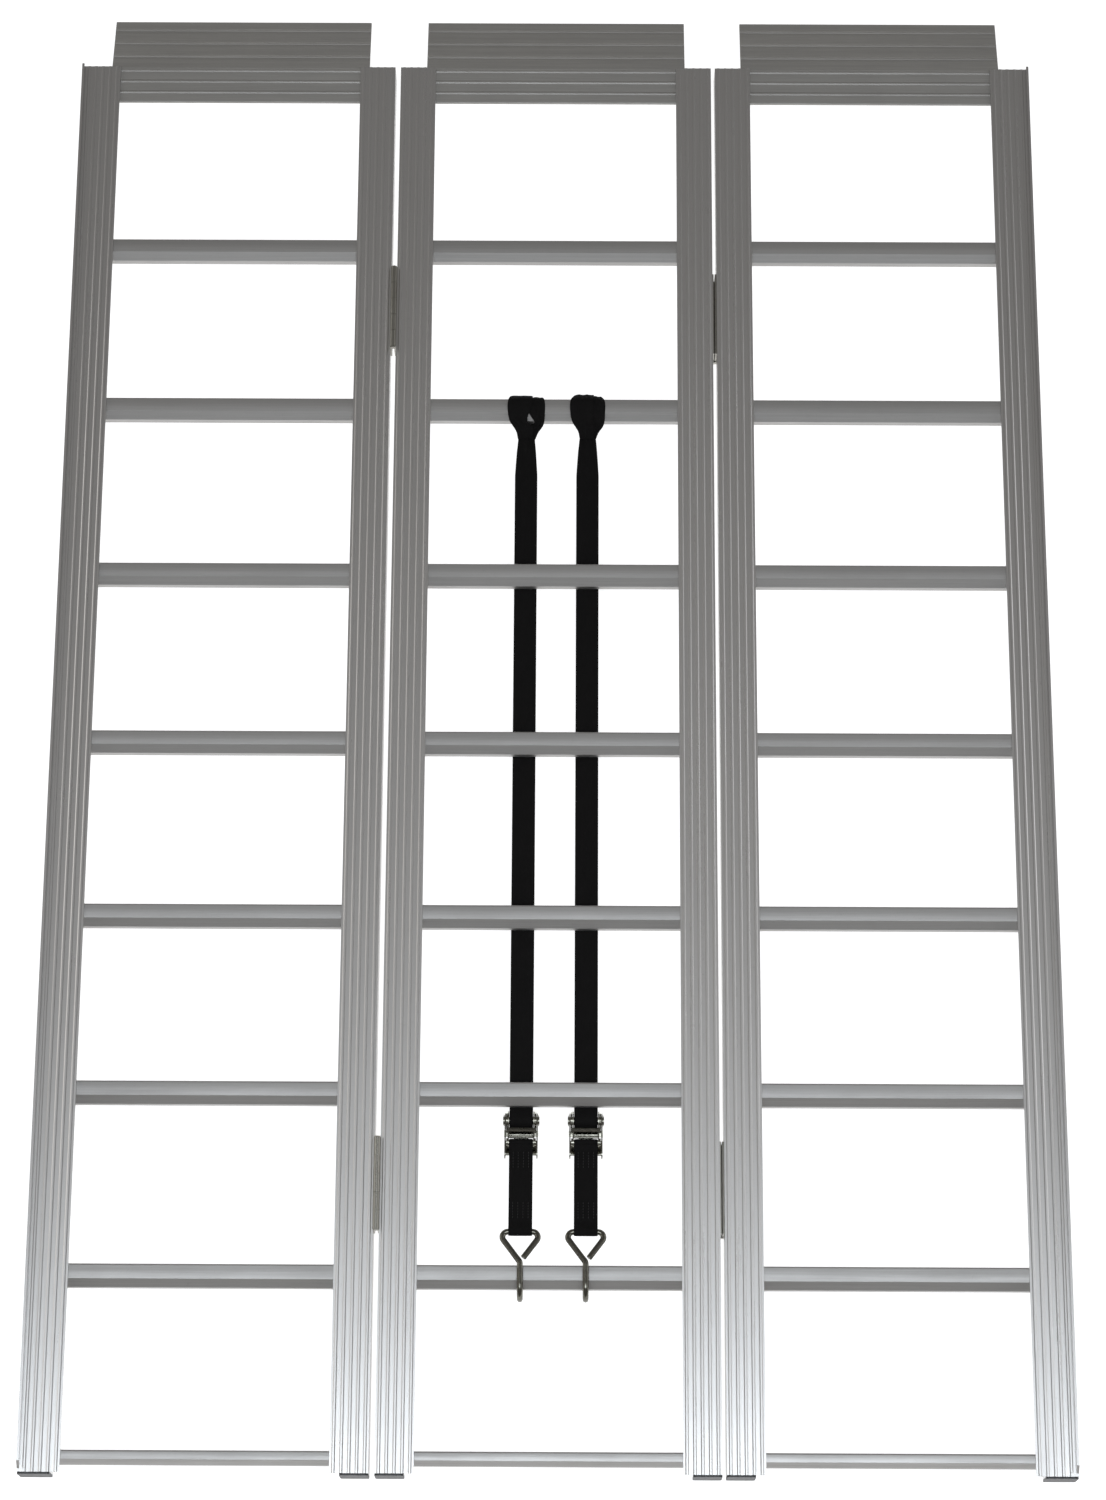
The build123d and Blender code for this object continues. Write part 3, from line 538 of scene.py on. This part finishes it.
height = calc(weave, "ADD", yarn, calc(weave, "MULTIPLY", fibre, fibre_height))
# the shade output is the yarns' height: painted shade that darkens the colour between the yarns
finish_group(weave, end, {"Height": height, "Shade": spread(weave, height, low=0.1, high=1.1)})

# dark between the yarns as painted shade, and in worn patches; light on the yarns' tops
webbing_dark, webbing_light = (0.0024, 0.0022, 0.0022, 1), (0.0078, 0.0070, 0.0069, 1)
webbing_specular = 0.1
weave_depth = 0.0002
webbing_cloth, tree, shader = new_material("black_webbing")
place = put(tree, "ShaderNodeAttribute", attribute_name="weave").outputs["Vector"]
look = put(tree, "ShaderNodeGroup", node_tree=weave)
tree.links.new(place, look.inputs["Place"])
on_piece = put(tree, "ShaderNodeTexCoord").outputs["Object"]
wear = noise(tree, on_piece, 45.0, detail=4.0, rough=0.65)
wear = spread(tree, wear, 0.3, 0.7, to_low=0.7, to_high=1.0)
# the weave's painted shade times the real wear
painted_shade_and_wear = calc(tree, "MULTIPLY", look.outputs["Shade"], wear)
roughness = spread(tree, painted_shade_and_wear, 0.0, 1.0, to_low=0.8, to_high=0.62)
tree.links.new(mixed(tree, painted_shade_and_wear, webbing_dark, webbing_light), shader.inputs["Base Color"])
tree.links.new(roughness, shader.inputs["Roughness"])
shader.inputs["Specular IOR Level"].default_value = webbing_specular
raise_surface(tree, shader, look.outputs["Height"], weave_depth)

band_step = 0.0015
band_points = 19  # across one side of the webbing
selvage_power = 8  # how square the webbing's edges are
folds_across, folds_along = 15, 70  # radians over the width, and to a metre of length
fold_least, fold_growth = 0.15, 4  # the folds' height on flat webbing, and its growth as it narrows


def band(name, stations, closed=False, folds=0.0, reach=0.004):
    """Webbing laid along stations of (y, z, left edge, right edge).

    Where the edges are closer together than the webbing is wide, it has lengthwise folds.
    """
    flat = [(0.0, y, z, left, right) for y, z, left, right in stations]
    line = ease(flat, band_step, reach, closed)
    y, z, left, right = line[:, 1], line[:, 2], line[:, 3], line[:, 4]
    if closed:
        dy, dz = np.roll(y, -1) - np.roll(y, 1), np.roll(z, -1) - np.roll(z, 1)
    else:
        dy, dz = np.gradient(y), np.gradient(z)
    size = np.hypot(dy, dz)
    ny, nz = -dz / size, dy / size
    far = np.concatenate([[0], np.cumsum(np.hypot(np.diff(y), np.diff(z)))])

    shares = 0.5 - 0.5 * np.cos(np.linspace(0, np.pi, band_points))
    ring = np.concatenate([shares, shares[-2:0:-1]])
    skin_side = np.concatenate([np.ones(len(shares)), -np.ones(len(shares) - 2)])
    rounded = np.sqrt(np.clip(1 - np.abs(2 * ring - 1) ** selvage_power, 0, 1))
    swell = rounded * skin_side * webbing_thickness / 2

    bunched = np.clip((webbing_width - (right - left)) / webbing_width, 0, 1)
    fold_height = folds * np.clip(bunched * fold_growth + fold_least, 0, 1)
    wave = np.sin(ring[None, :] * folds_across + far[:, None] * folds_along) * fold_height[:, None]
    lift = swell[None, :] + wave
    x = left[:, None] + (right - left)[:, None] * ring[None, :]
    rings = np.stack([x, y[:, None] + ny[:, None] * lift, z[:, None] + nz[:, None] * lift], 2)

    across = np.broadcast_to(ring * webbing_width, x.shape)
    along = np.broadcast_to(far[:, None], x.shape)
    places = np.stack([across, along, skin_side[None, :] + 0 * x], 2)
    return skin(name, rings, closed, places)


def cloth(piece, body, *nodes):
    """Webbing's finish, body and the nodes that it stands for."""
    piece.data.materials.append(webbing_cloth)
    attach(piece, body)
    if nodes:
        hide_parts(*nodes)


def round_run(centre, radius, start, stop, count):
    """Points on an arc about a centre in the side view; angles in degrees from +Y towards +Z."""
    return [
        (centre[0] + radius * math.cos(a), centre[1] + radius * math.sin(a))
        for a in np.radians(np.linspace(start, stop, count))
    ]


# ---------------------------------------------------------------- long straps
# Each long strap is wound on its buckle's spool, runs taut behind rungs 6 to 3 and is choked
# round rung 2, where its loop is pulled up into two crossing folds.
wound_radius = 0.009
spool_bar_radius = 0.005
half = webbing_width / 2
wrap_lap = 10  # degrees past a quarter turn that the strap lies on the roll
wrap_points = 24
# share of the knot's full width at its top, middle and neck, how far the gap between the folds
# closes, and how far the top arches
knot_sizes = {1: (1.0, 1.0, 1.0, 0.0, 0.001), 2: (0.8, 0.94, 0.92, 0.005, 0.0028)}
coil_turns = 1.9
coil_points = 90
bar_gap, roll_gap = 0.0002, 0.00015  # the turns' gap to the spool's bar and to the long strap

strap_lines = {}
for number in strap_numbers:
    hub = joints[f"strap_{number}_spool_turn"]["pos_m"]
    eye = joints[f"strap_{number}_hook_swing"]["pos_m"]
    offset = wound_radius + soft_gap + webbing_thickness / 2
    rise, reach = eye[2] - hub[2], hub[1] - eye[1]
    slope = math.atan2(rise, reach) - math.asin(offset / math.hypot(rise, reach))
    strap_lines[number] = (hub, eye, slope)
    x = hub[0]

    # off the roll, under rung 6 and along to the neck, where it is bunched
    low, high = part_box("centre_rung_6")
    z_behind = low[2] - soft_gap - webbing_thickness / 2
    rung_low, rung_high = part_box("centre_rung_2")
    middle = (rung_low[1] + rung_high[1]) / 2
    lean = math.degrees(slope)
    wrap = round_run(hub[1:], offset, 180 - lean + wrap_lap, 90 - lean, wrap_points)
    run = [(y, z, -half, half) for y, z in wrap]
    run += [
        (low[1] - soft_gap, z_behind, -half, half),
        (middle - 0.085, z_behind, -half, half),
        (middle - 0.055, z_behind + 0.0003, -0.0127, 0.0128),
        (middle - 0.036, z_behind + 0.001, -0.0108, 0.0112),
        (middle - 0.026, z_behind + 0.0035, -0.0095, 0.0095),
    ]
    run = [(y, z, x + left, x + right) for y, z, left, right in run]
    long_strap = band(f"strap_{number}_long_strap", run, folds=0.0007, reach=0.0025)

    # the knot's two folds: the left one lies over the right one, and a small gap stays between
    # them; each goes from the neck over the rung and back under it
    top, wide, neck, close, arch = knot_sizes[number]
    over, under = rung_high[2], rung_low[2]
    left_fold = [
        (-0.035, z_behind + 0.002, -0.0112 * neck, 0.0075 * neck),
        (-0.0265, z_behind + 0.0075, -0.0130 * neck, 0.0095 * neck),
        (-0.0205, over - 0.0105, -0.0175 * wide, 0.0100),
        (-0.0165, over - 0.0062, -0.0215 * wide, 0.0005 + close),
        (-0.0095, over + 0.0003, -0.0240 * wide, 0.0022 + close),
        (0.003, over + 0.0030, -0.0249 * wide, 0.0065),
        (0.0125, over + 0.0028, -0.0240 * wide, 0.0075),
        (0.0185 + arch, over - 0.0030, -0.0208 * top, 0.008),
        (0.0188 + arch, over - 0.016, -0.018 * top, 0.008),
        (0.014, under - 0.0024, -0.016 * top, 0.009),
        (0.0, under - 0.0026, -0.014, 0.009),
        (-0.020, under - 0.0024, -0.0125, 0.0095),
        (-0.033, z_behind - 0.0006, -0.0108 * neck, 0.0095 * neck),
    ]
    right_fold = [
        (-0.035, z_behind + 0.0005, -0.006 * neck, 0.0115 * neck),
        (-0.0265, z_behind + 0.0055, -0.003 * neck, 0.0155 * neck),
        (-0.0205, over - 0.0125, 0.0050, 0.0215 * wide),
        (-0.0165, over - 0.0080, 0.0118 - close, 0.0234 * wide),
        (-0.0095, over - 0.0012, 0.0050 - close, 0.0240 * wide),
        (0.003, over + 0.0014, -0.002, 0.0245 * wide),
        (0.0125, over + 0.0010, -0.003, 0.0236 * wide),
        (0.0168 + arch, over - 0.0045, -0.004, 0.0210 * top),
        (0.0170 + arch, over - 0.016, -0.005, 0.019 * top),
        (0.013, under - 0.0008, -0.006, 0.017 * top),
        (0.0, under - 0.001, -0.008, 0.015),
        (-0.020, under - 0.001, -0.0095, 0.013),
        (-0.033, z_behind - 0.0002, -0.0095 * neck, 0.0112 * neck),
    ]
    folds = []
    for fold in (left_fold, right_fold):
        fold = [(middle + y, z, x + left, x + right) for y, z, left, right in fold]
        folds.append(band("fold", fold, folds=0.0005, reach=0.003))
    long_strap = joined(f"strap_{number}_long_strap", [long_strap] + folds)
    cloth(long_strap, "centre_panel", f"strap_{number}_webbing")

    # the turns on the spool
    inner = spool_bar_radius + webbing_thickness / 2 + bar_gap
    outer = wound_radius - webbing_thickness / 2 - roll_gap
    coil = []
    for share in np.linspace(0, 1, coil_points):
        angle = 2 * math.pi * coil_turns * share
        radius = inner + (outer - inner) * share
        y, z = hub[1] + radius * math.cos(angle), hub[2] + radius * math.sin(angle)
        coil.append((y, z, x - half, x + half))
    turns = band(f"strap_{number}_turns", coil, reach=0.0015)
    cloth(turns, f"strap_{number}_spool", f"strap_{number}_wound_webbing")


# ---------------------------------------------------------------- sewn straps
# The two short straps, each a loop of webbing sewn together between the buckle's bolt and the
# hook's eye, with two blocks of black thread.
frame_eye_radius = 0.006
bolt_radius = 0.003
wire_radius = 0.0037
bolt_gap = 0.0001
ply_gap = 0.00003  # half the gap between the two layers
bolt_taper, eye_taper = 0.010, 0.012  # the layers meet this far from the bolt and from the eye
bolt_turn_ends, eye_turn_ends = (55, 305), (-125, 125)  # degrees, where the loop is round
turn_points = 22

thread_black, thread_light = (0.006, 0.006, 0.006, 1), (0.022, 0.021, 0.021, 1)
twist_depth = 0.0001
thread_cloth, tree, shader = new_material("black_thread")
twist = noise(tree, put(tree, "ShaderNodeTexCoord").outputs["Object"], 3000.0)
roughness = spread(tree, twist, 0.3, 0.7, to_low=0.5, to_high=0.7)
tree.links.new(mixed(tree, twist, thread_black, thread_light), shader.inputs["Base Color"])
tree.links.new(roughness, shader.inputs["Roughness"])
raise_surface(tree, shader, twist, twist_depth)

thread_radius = 0.00035
stitch_length = 0.0029
stitch_pitch = 0.0036
stitches_per_row = 6
stitch_rings, stitch_sides = 7, 6
stitch_end = 0.05  # the square of the thread's share of its thickness at a stitch's ends
stitch_dip = 0.8  # the ends dip by this share of the thread's radius
stitch_lift = 0.00005  # the thread's middle lies this far above the webbing
stitch_rows = (-0.0095, -0.0032, 0.0032, 0.0095)  # across the strap, from its middle
first_block, last_block = 0.014, 0.036  # from the bolt, and back from the eye


def stitch(centre, way, up):
    """One raised stitch: a short run of thread that dips at both ends."""
    side = np.cross(way, up)
    rings = []
    for share in np.linspace(-1, 1, stitch_rings):
        thick = thread_radius * math.sqrt(max(1 - share ** 6, stitch_end))
        dip = up * thread_radius * stitch_dip * share ** 4
        spot = centre + way * share * stitch_length / 2 - dip
        angles = np.linspace(0, 2 * np.pi, stitch_sides + 1)[:-1]
        rings.append([spot + thick * (math.cos(a) * side + math.sin(a) * up) for a in angles])
    return skin("stitch", np.array(rings), False)


sewn = []
for number in strap_numbers:
    hub, eye, slope = strap_lines[number]
    x = hub[0]
    down = np.array((-math.cos(slope), math.sin(slope)))
    up = np.array((math.sin(slope), math.cos(slope)))
    bolt_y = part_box(f"strap_{number}_ratchet_frame")[0][1] + frame_eye_radius
    length = (bolt_y - eye[1]) / math.cos(slope)
    start = np.array(eye[1:]) - down * length

    # the loop in the strap's own plane: along it from the bolt, and above it
    bolt_turn = bolt_radius + webbing_thickness / 2 + bolt_gap
    eye_turn = wire_radius + soft_gap + webbing_thickness / 2
    layer = webbing_thickness / 2 + ply_gap
    loop = round_run((0, 0), bolt_turn, *bolt_turn_ends, turn_points)
    loop += [(bolt_taper, -layer), (length - eye_taper, -layer)]
    loop += round_run((length, 0), eye_turn, *eye_turn_ends, turn_points)
    loop += [(length - eye_taper, layer), (bolt_taper, layer)]
    spots = [start + a * down + b * up for a, b in loop]
    run = [(y, z, x - half, x + half) for y, z in spots]
    sewn.append(band(f"strap_{number}_sewn_strap", run, closed=True, reach=0.001))

    stitches = []
    ahead = np.array((0.0, *down))
    for face in (-1, 1):
        lift = np.array((0.0, *up)) * face
        raised = lift * (webbing_thickness + stitch_lift)
        for block in (first_block, length - last_block):
            for row in stitch_rows:
                for step in range(stitches_per_row):
                    y, z = start + (block + stitch_pitch * step) * down
                    stitches.append(stitch(np.array((x + row, y, z)) + raised, ahead, lift))
    thread = joined(f"strap_{number}_stitching", stitches)
    thread.data.materials.append(thread_cloth)
    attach(thread, "centre_panel")
cloth(joined("sewn_straps", sewn), "centre_panel", "hook_webbings")
